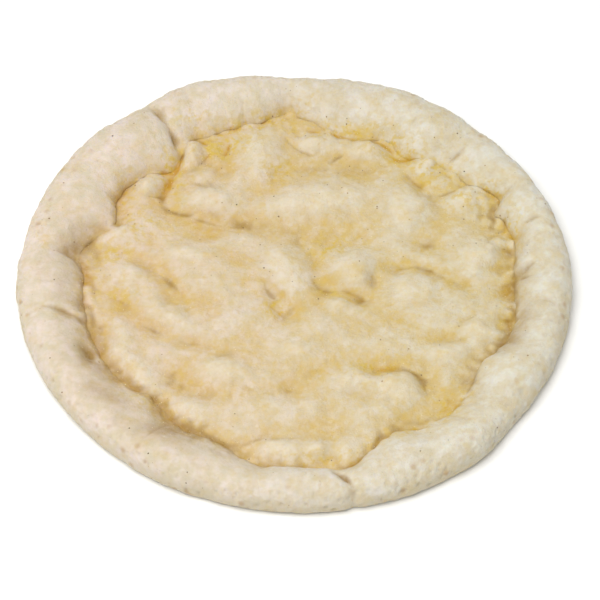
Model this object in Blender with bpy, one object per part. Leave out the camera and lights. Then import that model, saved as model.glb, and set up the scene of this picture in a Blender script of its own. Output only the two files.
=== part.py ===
"""Raw pizza base: one hand-pressed disc of dough with a thick rolled rim and a dimpled floor.

The dough is a single solid that rests flat on its underside. Its upper skin is a square
sheet of quads drawn out into a disc, so that no ring of slivers meets at the middle. The
sheet runs from the floor of the base into the fold at the foot of the rim, up over the
rim's crest, down its outer side and under its edge, and one flat face closes it below.

Angles are in degrees, anticlockwise from +X as seen from above. +Y points to the far side.
"""

import math
from collections import namedtuple

import bmesh
import bpy
import numpy as np
from mathutils import Vector, noise

MM = 0.001

# Driving dimensions
RADIUS = 150.1 * MM          # mean radius of the outer edge
FOOT_RADIUS = 115.5 * MM     # mean radius of the fold where the rim meets the floor
CREST_HEIGHT = 15.2 * MM     # top of the rim above the table
FLOOR_HEIGHT = 5.6 * MM      # mean thickness of the pressed floor
FOLD_DEPTH = 2.4 * MM        # depth of the fold below the floor where it is sharpest
FOLD_REACH = 4.4 * MM        # width of the floor's slope down into the fold
WIDEST_HEIGHT = 5.4 * MM     # height at which the outer side is widest
THINNEST = 3.2 * MM          # the floor is never pressed thinner than this
EDGE_TUCK = 3.6 * MM         # how far the outer side curls in under the widest line
OVERHANG = 1.5 * MM          # how far the rim leans in over the fold where it is sharpest
OVERHANG_SHARE = 0.06        # part of the rim's section over which that lean fades
CREST_SHARE = 0.62           # place of the crest across the rim, from its foot
FLATTENING = 0.92            # under 1, the rim is flatter on top and steeper at its outer side
FIRM_FOOT = 0.9              # shape of the rim's inner slope: 1 rises straight up from the fold
SOFT_FOOT = 3.0              # and 3 starts level with the floor
FIRMNESS = 0.35              # sharpness of the fold on the whole, 0 to 1

# The sheet
CELLS = 64                   # quads along each side of the sheet
FLOOR_SHARE = 0.70           # part of the way out to the sheet's edge that is floor
INNER_SHARE = 0.46           # part of the rim's section that climbs from the foot to the crest
OUTER_SHARE = 0.42           # part of it that falls from the crest to the widest line

# The disc is drawn out a little along one diagonal
LONG_AXIS = 130.0            # degrees
LONG_SWELL = 1.7 * MM        # swell at both ends of the long axis
LOPSIDED = 0.8 * MM          # more swell at its far left end

Swell = namedtuple("Swell", "angle spread size")                   # around the rim, degrees
Lump = namedtuple("Lump", "x y length width turn height")          # on the floor, mm, degrees
Crease = namedtuple("Crease", "x0 y0 x1 y1 bow width depth")       # pressed line, mm

# Bulges and flats of the outer edge, mm
OUTLINE = (
    Swell(115, 5, 2.6),
    Swell(89, 8, -5.4),
    Swell(70, 7, 1.6),
    Swell(60, 10, -1.2),
    Swell(212, 9, -0.8),
    Swell(192, 20, 2.8),
    Swell(150, 15, 1.5),
    Swell(313, 10, -1.6),
    Swell(258, 20, -0.8),
)
# Where the foot of the rim steps out from the middle (+) or bulges over the floor (-), mm
FOOT = (
    Swell(16, 8, 6.0),
    Swell(29, 3.5, 8.0),
    Swell(58, 7, -8.5),
    Swell(76, 7, -7.5),
    Swell(93, 4, 6.0),
    Swell(131, 5, -9.5),
    Swell(158, 4, -7.5),
    Swell(170, 5, 4.0),
    Swell(227, 6, -6.0),
    Swell(270, 12, 5.5),
    Swell(281, 5, 4.5),
    Swell(296, 4, -5.0),
    Swell(311, 5, 3.5),
    Swell(330, 5, -4.5),
    Swell(345, 6, 3.6),
)
# Lobes of the rim, mm above or below its mean crest
CREST = (
    Swell(139, 9, 2.2),
    Swell(156, 5, 1.2),
    Swell(124, 3, -1.6),
    Swell(96, 8, 0.8),
    Swell(58, 9, 0.9),
    Swell(45, 4, -0.9),
    Swell(20, 9, 0.7),
    Swell(350, 10, 0.8),
    Swell(300, 12, 0.6),
    Swell(240, 14, 1.2),
    Swell(205, 6, 1.3),
    Swell(192, 3, -1.2),
    Swell(176, 8, 0.6),
)
# Stretches where the fold at the rim's foot is sharper (+) or softer (-) than on the whole
FIRMER = (
    Swell(187, 12, 0.3),
    Swell(228, 20, 0.5),
    Swell(149, 5, 0.6),
    Swell(104, 12, 0.45),
    Swell(350, 12, 0.25),
    Swell(22, 12, 0.2),
    Swell(272, 12, 0.15),
    Swell(311, 14, -0.35),
    Swell(45, 7, -0.3),
    Swell(84, 6, -0.3),
    Swell(166, 5, -0.15),
)
# Lumps that fingertips left standing on the floor
LUMPS = (
    Lump(-24, 90, 36, 26, 75, 2.4),
    Lump(-60, 93, 16, 13, 80, 1.6),
    Lump(-31, 68, 34, 18, 40, 1.2),
    Lump(-46, 56, 21, 13, -15, 1.8),
    Lump(-83, 67, 16, 13, 30, 1.8),
    Lump(-97, 32, 20, 13, 20, 1.6),
    Lump(14, 56, 54, 22, 8, 2.1),
    Lump(60, 49, 24, 27, 0, 2.1),
    Lump(39, 93, 19, 13, 15, 1.8),
    Lump(9, 99, 18, 12, 0, 1.4),
    Lump(92, 56, 25, 15, 10, 1.8),
    Lump(99, 18, 20, 18, 0, 1.6),
    Lump(-7, 8, 33, 22, 105, 2.5),
    Lump(30, 10, 18, 14, 75, 2.3),
    Lump(-50, 5, 34, 30, 0, 1.5),
    Lump(-92, 3, 24, 16, -10, 1.5),
    Lump(-80, -15, 26, 13, -35, 1.4),
    Lump(23, -18, 16, 13, 0, 1.4),
    Lump(10, -30, 24, 14, 0, 1.0),
    Lump(62, -8, 26, 22, -10, 2.0),
    Lump(84, -14, 20, 22, 0, 1.3),
    Lump(-95, -38, 26, 13, 100, 1.7),
    Lump(-64, -29, 26, 13, -25, 1.3),
    Lump(-2, -46, 20, 14, 0, 1.0),
    Lump(95, -32, 24, 13, 80, 1.2),
    Lump(76, -49, 24, 13, 15, 1.4),
    Lump(-84, -61, 21, 14, -40, 1.8),
    Lump(-37, -62, 30, 14, -12, 1.8),
    Lump(55, -71, 20, 19, 0, 2.5),
    Lump(30, -67, 20, 15, 0, 1.5),
    Lump(-6, -112, 30, 14, 0, 1.8),
)
# Valleys that fingertips pressed into the floor, their heights counted downwards
VALLEYS = (
    Lump(-71, 66, 42, 13, 87, 1.8),
    Lump(-35, 41, 54, 13, -7, 1.9),
    Lump(0, 32, 15, 13, 100, 1.5),
    Lump(24, 30, 38, 19, -15, 1.7),
    Lump(71, 26, 17, 13, -20, 1.5),
    Lump(67, 67, 24, 13, 125, 1.5),
    Lump(56, 91, 17, 13, -30, 1.7),
    Lump(23, 83, 30, 13, 0, 1.8),
    Lump(54, 10, 17, 13, 0, 1.6),
    Lump(74, 6, 26, 13, -15, 1.3),
    Lump(14, -6, 14, 13, -20, 1.6),
    Lump(35, -13, 15, 13, -15, 1.7),
    Lump(-13, -9, 19, 13, 110, 2.0),
    Lump(-7, -22, 15, 13, 110, 1.8),
    Lump(-80, 11, 23, 13, -15, 1.4),
    Lump(-69, 0, 17, 13, 100, 1.3),
    Lump(-58, -42, 25, 13, -15, 1.4),
    Lump(-63, -66, 19, 13, -45, 1.3),
    Lump(44, -59, 23, 13, 0, 1.8),
    Lump(69, -67, 21, 13, 100, 1.9),
    Lump(87, -66, 48, 15, 60, 2.0),
    Lump(60, -93, 42, 14, 35, 1.6),
    Lump(109, 0, 78, 13, 90, 1.3),
    Lump(-107, -44, 32, 14, 117, 1.6),
)
# Folds that cross the rim
RIM_CREASES = (
    Crease(-86, 122, -68, 92, 2, 4.0, 3.2),
    Crease(-116, 75, -98, 55, -2, 4.0, 2.8),
    Crease(-142, 15, -116, 10, 2, 4.0, 2.0),
    Crease(-136, -20, -103, -35, 3, 4.0, 3.0),
    Crease(-126, -42, -108, -50, 1, 4.0, 2.2),
    Crease(31, -140, 22, -124, -3, 4.0, 1.8),
    Crease(148, 6, 120, 3, -3, 4.0, 1.2),
    Crease(148, -25, 120, -21, -2, 4.0, 1.0),
    Crease(96, 106, 84, 80, 3, 4.5, 1.8),
    Crease(-7, 143, -6, 118, 2, 4.0, 1.2),
)

SETTLING = 0.4 * MM          # how far the floor sinks between its lumps

# Unevenness all over, from the gas in the dough
RELIEF_SIZE = 26.0 * MM
RELIEF_HEIGHT = 0.9 * MM
RELIEF_SEED = Vector((3.7, 1.3, 8.1))

DOUGH_COLOUR = (0.76, 0.64, 0.44, 1.0)
DOUGH_ROUGHNESS = 0.55


def clear_scene():
    for item in list(bpy.data.objects):
        bpy.data.objects.remove(item, do_unlink=True)


def swells(angle, entries):
    """Sum of the smooth swells at each angle, in the unit of their sizes."""
    total = np.zeros_like(angle)
    for entry in entries:
        away = (angle - entry.angle + 180.0) % 360.0 - 180.0
        total += entry.size * np.exp(-0.5 * (away / entry.spread) ** 2)
    return total


def outer_radius(angle):
    turn = np.radians(angle - LONG_AXIS)
    drawn_out = LONG_SWELL * np.cos(2.0 * turn) + LOPSIDED * np.cos(turn)
    return RADIUS + drawn_out + swells(angle, OUTLINE) * MM


def foot_radius(angle):
    return FOOT_RADIUS + swells(angle, FOOT) * MM


def crest_height(angle):
    return CREST_HEIGHT + swells(angle, CREST) * MM


def firmness(angle):
    """0 where the rim runs smoothly into the floor, 1 where a sharp fold parts them."""
    return np.clip(FIRMNESS + swells(angle, FIRMER), 0.0, 1.0)


def square_to_disc(side_x, side_y):
    """Polar place (share of the way out, degrees) of each point of a square from -1 to 1."""
    across = np.abs(side_x) >= np.abs(side_y)
    share = np.where(across, np.abs(side_x), np.abs(side_y))
    safe_x = np.where(side_x == 0.0, 1.0, side_x)
    safe_y = np.where(side_y == 0.0, 1.0, side_y)
    flat = 45.0 * side_y / safe_x + np.where(side_x < 0.0, 180.0, 0.0)
    steep = 90.0 - 45.0 * side_x / safe_y + np.where(side_y < 0.0, 180.0, 0.0)
    return share, np.where(across, flat, steep)


def rim_section(share, angle):
    """Radius and height on the rim, with share 0 at its foot and 1 under its outer edge."""
    foot = foot_radius(angle)
    edge = outer_radius(angle)
    top = crest_height(angle)
    firm = firmness(angle)
    crest = foot + CREST_SHARE * (edge - foot)

    inner = np.clip(share / INNER_SHARE, 0.0, 1.0) * 0.5 * math.pi
    fold = np.maximum(FLOOR_HEIGHT - FOLD_DEPTH * firm, THINNEST)
    lean = OVERHANG * firm * np.exp(-share / OVERHANG_SHARE)
    radius = crest - (crest - foot) * np.cos(inner) + lean
    height = fold + (top - fold) * np.sin(inner) ** (SOFT_FOOT + firm * (FIRM_FOOT - SOFT_FOOT))

    outer = np.clip((share - INNER_SHARE) / OUTER_SHARE, 0.0, 1.0) * 0.5 * math.pi
    radius = radius + (edge - crest) * np.sin(outer) ** FLATTENING
    height = height - (top - WIDEST_HEIGHT) * (1.0 - np.cos(outer) ** FLATTENING)

    under_start = INNER_SHARE + OUTER_SHARE
    under = np.clip((share - under_start) / (1.0 - under_start), 0.0, 1.0) * 0.5 * math.pi
    radius = radius - EDGE_TUCK * (1.0 - np.cos(under))
    height = height - WIDEST_HEIGHT * np.sin(under)
    return radius, height


def sheet_points(side_x, side_y):
    """The smooth dough before anything is pressed into it, and each point's place on the rim."""
    share, angle = square_to_disc(side_x, side_y)
    on_rim = np.clip((share - FLOOR_SHARE) / (1.0 - FLOOR_SHARE), 0.0, 1.0)
    rim_radius, rim_height = rim_section(on_rim, angle)
    start_radius, start_height = rim_section(np.zeros_like(angle), angle)
    inward = np.clip(share / FLOOR_SHARE, 0.0, 1.0)
    dip = (start_height - FLOOR_HEIGHT) * np.exp(start_radius * (inward - 1.0) / FOLD_REACH)
    on_floor = share < FLOOR_SHARE
    radius = np.where(on_floor, start_radius * inward, rim_radius)
    height = np.where(on_floor, FLOOR_HEIGHT + dip, rim_height)
    turn = np.radians(angle)
    points = np.stack([radius * np.cos(turn), radius * np.sin(turn), height], axis=1)
    return points, on_rim


def lump_heights(x, y, lumps):
    """Soft pillows that run into each other."""
    total = np.zeros_like(x)
    for lump in lumps:
        turn = math.radians(lump.turn)
        along = (x - lump.x * MM) * math.cos(turn) + (y - lump.y * MM) * math.sin(turn)
        across = (y - lump.y * MM) * math.cos(turn) - (x - lump.x * MM) * math.sin(turn)
        reach = np.hypot(along / (0.5 * lump.length * MM), across / (0.5 * lump.width * MM))
        total += lump.height * MM * np.exp(-reach ** 2)
    return total


def crease_depths(x, y, creases):
    """Depth of the pressed lines. Each bows by its own amount and fades out at both ends."""
    total = np.zeros_like(x)
    for crease in creases:
        start = np.array([crease.x0, crease.y0]) * MM
        run = np.array([crease.x1, crease.y1]) * MM - start
        length = float(np.hypot(*run))
        along = ((x - start[0]) * run[0] + (y - start[1]) * run[1]) / length ** 2
        across = ((y - start[1]) * run[0] - (x - start[0]) * run[1]) / length
        inside = np.clip(along, 0.0, 1.0)
        off_line = across - 4.0 * crease.bow * MM * inside * (1.0 - inside)
        past_end = (along - inside) * length
        distance = np.hypot(off_line, past_end) / (crease.width * MM)
        total += crease.depth * MM * np.exp(-distance ** 1.4)
    return total


def uneven_heights(points):
    place = (Vector(point) / RELIEF_SIZE + RELIEF_SEED for point in points)
    return np.array([noise.noise(spot) for spot in place]) * RELIEF_HEIGHT


def press_dough(points, normals, on_rim):
    """Moves the skin: lumps and valleys on the floor go up and down, those of the rim along its normal."""
    x, y = points[:, 0], points[:, 1]
    on_floor = np.clip(1.0 - 6.0 * on_rim, 0.0, 1.0)
    near_side = np.clip((1.0 - on_rim) / (1.0 - INNER_SHARE - OUTER_SHARE), 0.0, 1.0)
    lift = lump_heights(x, y, LUMPS) - lump_heights(x, y, VALLEYS) - SETTLING
    across_rim = near_side * (uneven_heights(points) - crease_depths(x, y, RIM_CREASES))
    moved = points + normals * across_rim[:, None]
    moved[:, 2] += lift * on_floor
    thin = on_rim < INNER_SHARE
    moved[thin, 2] = np.maximum(moved[thin, 2], THINNEST)
    return moved


def centred(points):
    """Sets the dough centrally over the origin, with its underside on the table."""
    middle = 0.5 * (points.min(axis=0) + points.max(axis=0))
    middle[2] = 0.0
    return points - middle


def coordinates(sheet):
    return np.array([vert.co[:] for vert in sheet.verts])


def place_vertices(sheet, points):
    for vert, point in zip(sheet.verts, points):
        vert.co = point
    sheet.normal_update()


def dough_mesh():
    sheet = bmesh.new()
    bmesh.ops.create_grid(sheet, x_segments=CELLS, y_segments=CELLS, size=1.0)
    flat = coordinates(sheet)
    points, on_rim = sheet_points(flat[:, 0], flat[:, 1])
    place_vertices(sheet, points)
    normals = np.array([vert.normal[:] for vert in sheet.verts])

    points = press_dough(points, normals, on_rim)
    points[on_rim >= 1.0, 2] = 0.0
    place_vertices(sheet, centred(points))

    rim_edges = [edge for edge in sheet.edges if edge.is_boundary]
    bmesh.ops.contextual_create(sheet, geom=rim_edges)
    bmesh.ops.recalc_face_normals(sheet, faces=sheet.faces)
    mesh = bpy.data.meshes.new("dough_base")
    sheet.to_mesh(mesh)
    sheet.free()
    mesh.shade_smooth()
    mesh.set_sharp_from_angle(angle=math.radians(60.0))
    return mesh


def dough_material():
    material = bpy.data.materials.new("raw_dough")
    material.use_nodes = True
    surface = material.node_tree.nodes["Principled BSDF"]
    surface.inputs["Base Color"].default_value = DOUGH_COLOUR
    surface.inputs["Roughness"].default_value = DOUGH_ROUGHNESS
    surface.inputs["Metallic"].default_value = 0.0
    return material


def main():
    clear_scene()
    collection = bpy.data.collections.new("pizza_base")
    bpy.context.scene.collection.children.link(collection)
    dough = bpy.data.objects.new("dough_base", dough_mesh())
    dough.data.materials.append(dough_material())
    collection.objects.link(dough)


main()
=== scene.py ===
"""Raw pizza base: hand-pressed dough with a rolled rim, dusted with semolina, on a studio floor.

Lengths in the feature tables are millimetres and angles are degrees, anticlockwise from +X
as seen from above. +Y points away from the camera.
"""

import math
from collections import namedtuple

import bmesh
import bpy
import numpy as np
from bpy.props import FloatProperty, FloatVectorProperty, IntProperty, PointerProperty
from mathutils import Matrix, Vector, noise


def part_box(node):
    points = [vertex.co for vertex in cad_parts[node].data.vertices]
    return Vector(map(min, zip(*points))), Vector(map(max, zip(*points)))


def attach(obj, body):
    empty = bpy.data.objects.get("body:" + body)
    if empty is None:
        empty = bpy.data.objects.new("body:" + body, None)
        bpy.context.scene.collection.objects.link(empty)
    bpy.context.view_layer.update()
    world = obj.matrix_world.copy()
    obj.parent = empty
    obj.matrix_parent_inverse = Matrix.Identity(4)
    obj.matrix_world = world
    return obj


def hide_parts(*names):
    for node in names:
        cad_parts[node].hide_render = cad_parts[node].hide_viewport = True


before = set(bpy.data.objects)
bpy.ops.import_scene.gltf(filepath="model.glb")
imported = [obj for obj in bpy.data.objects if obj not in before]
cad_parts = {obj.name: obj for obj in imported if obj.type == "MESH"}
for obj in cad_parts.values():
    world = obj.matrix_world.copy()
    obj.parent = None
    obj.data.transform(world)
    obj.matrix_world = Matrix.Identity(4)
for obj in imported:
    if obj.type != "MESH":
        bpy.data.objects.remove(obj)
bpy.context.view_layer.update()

bl_info = {
    "name": "Raw Pizza Base",
    "version": (1, 0, 0),
    "blender": (4, 5, 0),
    "location": "View3D > Sidebar > Pizza Base",
    "description": "Makes a raw pizza base with its semolina dusting and a studio around it",
    "category": "Add Mesh",
}

MM = 0.001
NODE = "dough_base"
BODY = "root"

# -------------------- the form of the dough

FOOT_RADIUS = 115.5 * MM     # mean radius of the fold where the rim meets the floor
FOLD_DEPTH = 4.2 * MM        # depth of that fold below the floor where it is sharpest
WIDEST_HEIGHT = 5.4 * MM     # height at which the outer side is widest
THINNEST = 2.4 * MM          # the floor is never pressed thinner than this
EDGE_TUCK = 3.6 * MM         # how far the outer side curls in under the widest line
OVERHANG = 1.5 * MM          # how far the rim leans in over the fold where it is sharpest
OVERHANG_SHARE = 0.06        # part of the rim's section over which that lean dies away
FOLD_REACH = 4.4 * MM        # width of the floor's slope down into the fold
THIN_SHADE = 1.5 * MM        # reach of the painted shade along the fold where it is thinnest
RIM_SHADE = 7.0 * MM         # how much further it reaches up the rim where it is broad
FLOOR_SHADE = 2.2 * MM       # and over the floor
CREST_SHARE = 0.62           # place of the crest across the rim, from its foot
FLATTENING = 0.92            # under 1, the rim is flatter on top and steeper at its outer side
FIRM_FOOT = 0.9              # shape of the rim's inner slope: 1 rises straight up from the fold
SOFT_FOOT = 3.0              # and 3 starts level with the floor

CELLS = 310                  # quads along each side of the sheet, about 1 mm each
SIDE = CELLS + 1
FLOOR_SHARE = 0.70           # part of the way out to the sheet's edge that is floor
INNER_SHARE = 0.46           # part of the rim's section that climbs from foot to crest
OUTER_SHARE = 0.42           # part of it that falls from the crest to the widest line

LONG_AXIS = 130.0            # the disc is drawn out a little along this diagonal
LONG_SWELL = 1.7 * MM        # by this much at each end
LOPSIDED = 0.8 * MM          # and by this much more at one of them

Swell = namedtuple("Swell", "angle spread size")
Lump = namedtuple("Lump", "x y length width turn height")
Crease = namedtuple("Crease", "x0 y0 x1 y1 bow width depth lean", defaults=(0.0,))
Dusting = namedtuple("Dusting", "x y length width turn amount")
Layer = namedtuple("Layer", "size height seed")


def rows(kind, *table):
    """The rows of a table, each made one of its kind."""
    return tuple(kind(*row) for row in table)


# Round the rim, by angle: swells of the outline, of the fold's radius and of the crest's height
OUTLINE = rows(
    Swell,
    (115, 5, 2.6), (87, 9, -5.6), (70, 7, 0.8), (60, 10, -1.2), (212, 9, -0.8), (192, 20, 2.8),
    (150, 15, 1.5), (313, 10, -1.6), (245, 20, 1.0), (306, 5, 1.6), (330, 6, -2.2), (344, 8, -1.0),
    (25, 8, -1.0), (108, 4, -1.4),
)
FOOT = rows(
    Swell,
    (16, 8, 6.0), (29, 3.5, 8.0), (58, 7, -8.5), (76, 7, -7.5), (93, 4, 6.0), (131, 5, -9.5),
    (158, 4, -7.5), (170, 5, 4.0), (227, 6, -6.0), (270, 12, 5.5), (281, 5, 4.5), (296, 4, -5.0),
    (311, 5, 3.5), (330, 5, -4.5), (345, 6, 3.6), (63.5, 2.5, 4.0), (122, 3, 2.5), (247, 4, -4.0),
    (261, 3, 2.0), (24, 1.5, -4.0),
)
CREST = rows(
    Swell,
    (139, 9, 2.2), (156, 5, 1.2), (124, 3, -1.6), (96, 8, 0.8), (58, 9, 0.9), (45, 4, -0.9), (20, 9, 0.7),
    (350, 10, 0.8), (300, 12, 0.6), (240, 14, 1.2), (205, 6, 1.3), (192, 3, -1.2), (176, 8, 0.6),
)

# How sharp the fold is, how far out the crest lies, how broadly shade is painted along the fold and
# how much more than elsewhere the floor puckers beside it
FIRMNESS = 0.35
FIRMER = rows(
    Swell,
    (187, 12, 0.3), (228, 20, -0.15), (149, 5, 0.6), (104, 12, 0.3), (350, 12, 0.25), (22, 12, 0.2),
    (272, 12, 0.15), (311, 14, -0.35), (45, 7, -0.3), (84, 6, -0.3), (166, 5, -0.15),
)
CREST_OUTWARD = rows(Swell, (230, 16, 0.15), (306, 10, 0.06))
PAINTED_FOLD_SHADE = rows(
    Swell,
    (230, 20, 1.5), (306, 14, 0.7), (2, 22, 0.5), (334, 12, 0.5), (180, 14, 0.85), (163, 6, 0.3),
    (205, 4, 0.6),
)
PUCKERED = rows(Swell, (5, 22, 1.05), (44, 8, 0.3))

# On the floor and across the rim, as seen from above: ovals with their height or depth, and
# lines with their two ends
LUMPS = rows(
    Lump,
    # far side
    (-24, 90, 36, 26, 75, 1.7), (-60, 93, 15, 10, 80, 1.6), (-53, 75, 12, 11, 0, 1.0),
    (-31, 68, 34, 18, 40, 0.9), (-46, 56, 21, 13, -15, 1.4), (-83, 67, 16, 12, 30, 1.6),
    (-84, 42, 22, 16, 0, 0.6), (-97, 32, 20, 13, 20, 1.2), (14, 56, 54, 22, 8, 1.4),
    (-2, 52, 20, 12, 0, 0.5), (30, 59, 20, 16, 0, 0.5), (60, 49, 24, 27, 0, 1.5),
    (39, 93, 19, 13, 15, 1.5), (9, 99, 18, 9, 0, 1.3), (92, 56, 25, 15, 10, 1.3),
    (72, 84, 14, 12, 0, 0.8), (99, 18, 20, 18, 0, 1.2), (87, 34, 16, 12, 0, 0.6),
    # middle
    (-7, 10, 30, 24, 105, 2.0), (30, 7, 21, 19, 75, 1.8), (-50, 5, 34, 30, 0, 1.0),
    (-62, 19, 24, 13, 0, 0.9), (-28, 24, 20, 16, 120, 0.4), (-92, 3, 24, 16, -10, 1.1),
    (-80, -15, 26, 12, -35, 0.7), (23, -18, 16, 12, 0, 1.1), (10, -30, 24, 14, 0, 0.7),
    (62, -8, 26, 22, -10, 1.5), (84, -14, 20, 22, 0, 1.0), (70, -24, 22, 14, 0, 0.8),
    (-95, -38, 26, 12, 100, 1.0), (-64, -29, 26, 11, -25, 0.7), (-30, -30, 24, 14, 0, 0.4),
    (-2, -46, 20, 14, 0, 0.7), (46, -46, 24, 12, 0, 0.6), (95, -32, 24, 10, 80, 0.5),
    (76, -49, 24, 13, 15, 1.0),
    # near side
    (-84, -61, 21, 14, -40, 1.1), (-37, -62, 30, 14, -12, 1.4), (-56, -86, 15, 12, 0, 1.0),
    (52, -71, 23, 20, 0, 1.7), (30, -67, 20, 15, 0, 1.2), (-20, -87, 40, 14, 0, 0.6),
    (-6, -112, 30, 14, 0, 1.6), (12, -112, 9, 8, 0, 1.0), (25, -111, 14, 12, 0, 0.9),
    (36, -88, 30, 12, 8, 0.6),
    # along the fold on the right
    (111, 26, 13, 10, 20, 0.9), (107, 15, 13, 9, -15, 0.6), (111, 5, 9, 8, 30, 0.6),
    (108, -17, 13, 11, -20, 0.9), (104, -37, 12, 10, 40, 0.6), (110, 44, 10, 9, 0, 0.6),
)
VALLEYS = rows(
    Lump,
    # far side
    (-73, 64, 46, 11, 85, 1.3), (-100, 52, 28, 10, 80, 0.5), (-38, 42, 60, 13, -7, 2.0),
    (-52, 33, 20, 11, -15, 0.8), (0, 32, 15, 12, 100, 0.8), (24, 29, 38, 20, -15, 1.5),
    (71, 26, 17, 12, -20, 1.2), (67, 67, 26, 11, 125, 1.5), (56, 91, 17, 12, -30, 1.4),
    (25, 83, 46, 12, 0, 2.0), (-6, 77, 26, 9, 15, 1.0), (-41, 94, 15, 7, 95, 1.2),
    (104, 48, 24, 11, 120, 1.2), (80, 62, 20, 8, 10, 0.8),
    # middle
    (54, 10, 17, 10, 0, 1.4), (74, 6, 26, 9, -15, 1.2), (90, -2, 15, 8, -20, 0.9),
    (41, 0, 13, 7, 90, 1.2), (14, -6, 14, 10, -20, 0.8), (9, 8, 15, 7, 95, 0.8),
    (35, -13, 15, 9, -15, 1.5), (-13, -9, 19, 10, 110, 1.9), (-7, -22, 15, 12, 110, 1.7),
    (-80, 11, 23, 10, -15, 1.3), (-69, 0, 17, 11, 100, 1.1), (-67, -13, 15, 11, -20, 1.0),
    (-92, -20, 17, 9, -30, 0.7), (-76, -34, 15, 9, -30, 1.2), (-58, -42, 25, 9, -15, 1.3),
    (-40, -48, 17, 9, 0, 0.8), (80, -39, 25, 7, 0, 0.8),
    # near side
    (-63, -66, 19, 11, -45, 1.1), (-44, -75, 21, 9, -5, 1.0), (-2, -70, 14, 11, 0, 1.2),
    (8, -62, 13, 11, 0, 0.9), (44, -59, 23, 12, 0, 1.6), (69, -70, 24, 12, 97, 1.7),
    (88, -66, 48, 13, 60, 1.8), (60, -93, 42, 14, 35, 1.6), (44, -105, 14, 10, 60, 0.8),
    # along the fold
    (110, 0, 84, 14, 90, 1.8), (-107, -44, 32, 14, 117, 1.5), (-75, -83, 60, 11, -43, 1.0),
    (-38, -108, 46, 10, -20, 1.0), (-112, 26, 30, 10, 100, 0.8), (-116, 28, 18, 9, 75, 0.5),
    (-108, 18, 11, 7, 90, 0.6), (112, -5, 10, 9, 30, 0.5), (113, -29, 13, 8, 60, 0.7),
    (116, 33, 9, 6, 20, 0.7),
)
FLOOR_CREASES = rows(
    Crease,
    # left
    (-95, 12, -60, -18, 9, 3.6, 0.9), (-112, -3, -90, -17, 0, 3.0, 0.9),
    (-113, -28, -104, -34, 1, 2.4, 0.9), (-85, -29, -68, -38, 0, 2.6, 1.0),
    (-70, -38, -40, -46, -1, 3.0, 0.7), (-68, -62, -59, -71, 0, 2.4, 1.0),
    (-57, -52, -56, -66, 1, 2.2, 0.5),
    # far left
    (-76, 55, -57, 48, -2, 2.4, 1.2), (-60, 46, -28, 41, -2, 3.0, 0.9), (-60, 70, -49, 64, 0, 2.2, 1.0),
    (-74, 56, -70, 76, 1, 1.5, 2.8), (-70, 76, -64, 92, 1, 1.5, 2.8), (-69, 78, -82, 77, 0, 1.5, 2.2),
    (-72, 61, -86, 60, 1, 1.5, 2.0), (-86, 60, -91, 66, 1, 1.6, 1.4), (-61, 105, -50, 98, -1, 1.6, 1.8),
    (-49, 93, -59, 82, 1, 1.6, 1.8), (-38, 101, -41, 90, 1, 1.6, 1.8),
    # far
    (-8, 105, 12, 91, -4, 2.4, 1.0), (-20, 65, 18, 81, 2, 3.4, 0.6), (18, 80, 48, 81, -2, 3.0, 0.8),
    (17, 85, 25, 91, 0, 2.2, 1.2), (5, 109, 33, 102, -1, 2.0, 2.0), (33, 102, 55, 92, 3, 1.6, 2.0),
    (48, 91, 60, 87, 0, 2.0, 1.4), (59, 87, 72, 87, 2, 2.0, 1.5), (61, 78, 70, 65, -1, 2.4, 1.4),
    (77, 60, 96, 69, -1, 2.6, 1.3), (91, 76, 97, 69, 0, 1.8, 1.3), (96, 69, 111, 59, 1, 2.2, 1.4),
    (106, 58, 109, 49, -1, 2.0, 1.2), (109, 49, 119, 35, -1, 2.0, 1.1), (104, 40, 118, 33, 0, 2.2, 1.4),
    # middle
    (0, 42, 9, 16, -5, 3.0, 0.6), (9, 40, 40, 27, 0, 4.0, 0.4), (-20.5, 1, -13, -11, 0, 1.9, 1.7),
    (-18, -16, -6, -24, 0, 2.4, 1.1), (-9, -19, 6, -15, 1, 2.6, 0.7), (7, 4, 13, -6, -1, 2.4, 1.0),
    (13, -6, 22, -8, 0, 2.6, 1.0), (21, -7, 36, -13, 1, 2.6, 0.9), (29, -13, 47, -12, 0, 2.6, 0.8),
    (40, 5, 41, -4, 0, 2.2, 0.8),
    # right
    (45, 7, 92, -7, 8, 3.0, 1.2, -0.4), (57, 32, 76, 25, 0, 3.4, 0.8), (60, 14, 71, 27, 0, 2.6, 0.7),
    (70, -40, 93, -42, 1, 3.0, 0.5), (85, -30, 101, -12, -4, 3.0, 0.7),
    (112, -24, 114, -36, -1, 2.4, 1.6), (118, 20, 117, 8, 0, 2.2, 1.4), (114, -2, 114, -14, 1, 2.4, 1.5),
    (105, 36, 104, 8, 2, 2.4, 0.5), (104, 0, 107, -22, -2, 2.4, 0.5), (107, 22, 118, 17, 1, 2.2, 0.8),
    (107, 7, 117, 1, -1, 2.2, 0.7), (107, -11, 117, -9, 1, 2.2, 0.9), (106, -24, 115, -25, -1, 2.2, 0.9),
    # near
    (38, -62, 68, -68, 6, 2.8, 1.4, -0.4), (66, -65, 68, -77, -1, 2.6, 1.3),
    (74, -65, 73, -72, 0, 2.2, 0.5), (79, -78, 75, -88, 0, 2.6, 0.9), (94, -60, 75, -71, 3, 2.8, 0.8),
    (-10, -70, 4, -73, -1, 3.0, 0.6), (-35, -110, 2, -104, 2, 2.6, 1.2),
    (-80, -81, -66, -92, -1, 2.2, 1.6), (-52, -101, -33, -109, 1, 2.2, 1.4),
    (38, -113, 47, -102, 2, 2.4, 1.4),
)
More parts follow.
